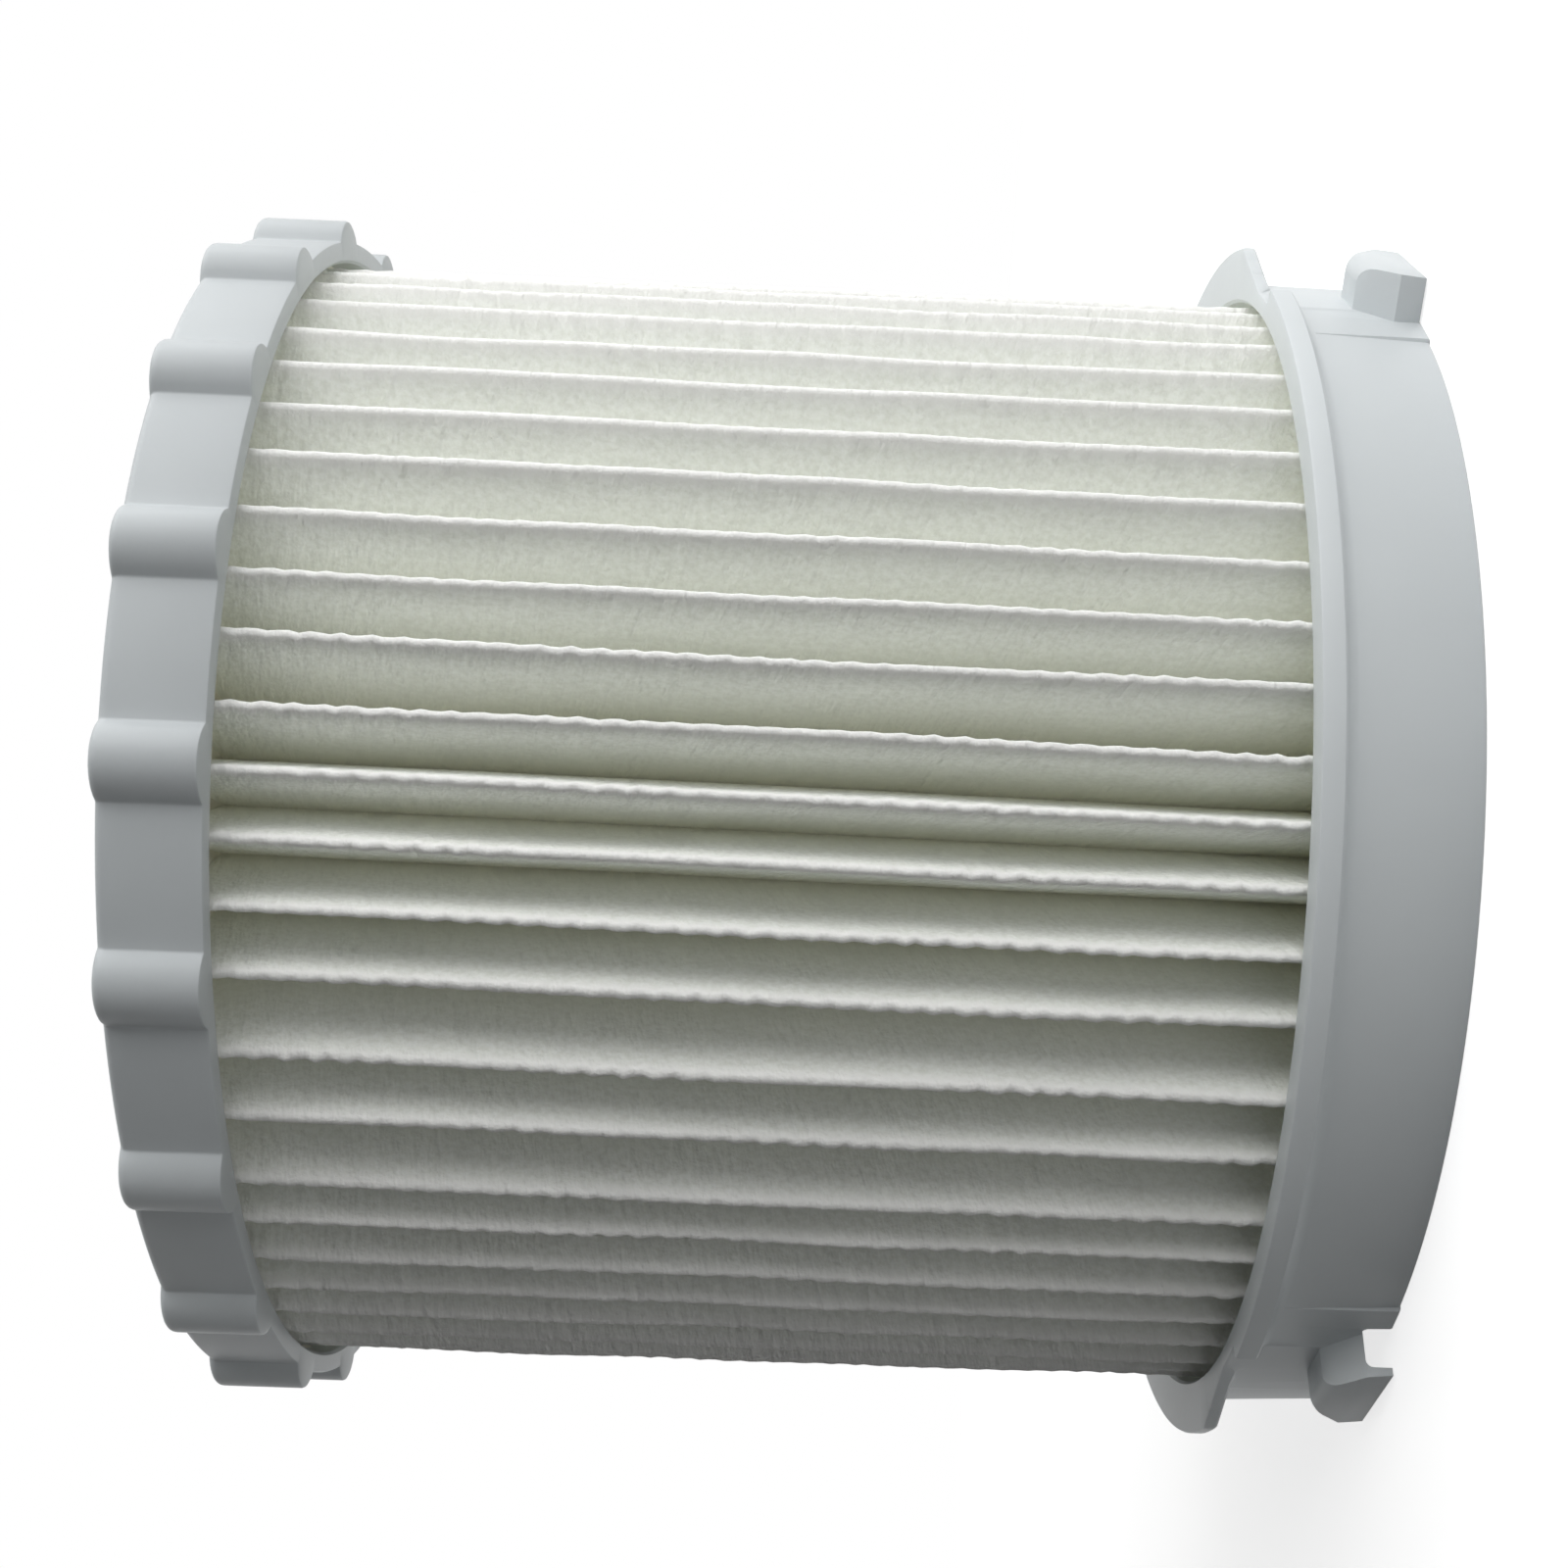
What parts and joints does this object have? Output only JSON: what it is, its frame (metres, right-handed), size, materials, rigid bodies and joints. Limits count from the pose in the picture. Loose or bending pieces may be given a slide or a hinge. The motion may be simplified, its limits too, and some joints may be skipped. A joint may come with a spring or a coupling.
{
  "type": "vacuum filter cartridge",
  "caption": "Cylindrical pleated dust filter for a vacuum cleaner, with a lobed closed grip cap and an open bayonet collar with hook lugs.",
  "frame": {"origin": "on the cartridge axis, in the plane of the collar's rim", "axes": "+Z along the cartridge axis from the open collar to the closed grip cap; the front of the collar, midway between two hook lugs, faces -Y"},
  "size_m": [0.11, 0.1092, 0.099],
  "materials": {
    "white_plastic": "satin moulded",
    "filter_paper": "fibrous",
    "cage_plastic": "moulded",
    "glue": "cast",
    "seal_rubber": "soft"
  },
  "bodies": {
    "root": {"grip_cap": "white_plastic", "bayonet_collar": "white_plastic", "pleat_pack": "filter_paper", "support_cage": "cage_plastic", "cap_glue_ring": "glue", "collar_glue_ring": "glue", "outlet_seal": "seal_rubber"}
  },
  "joints": []
}
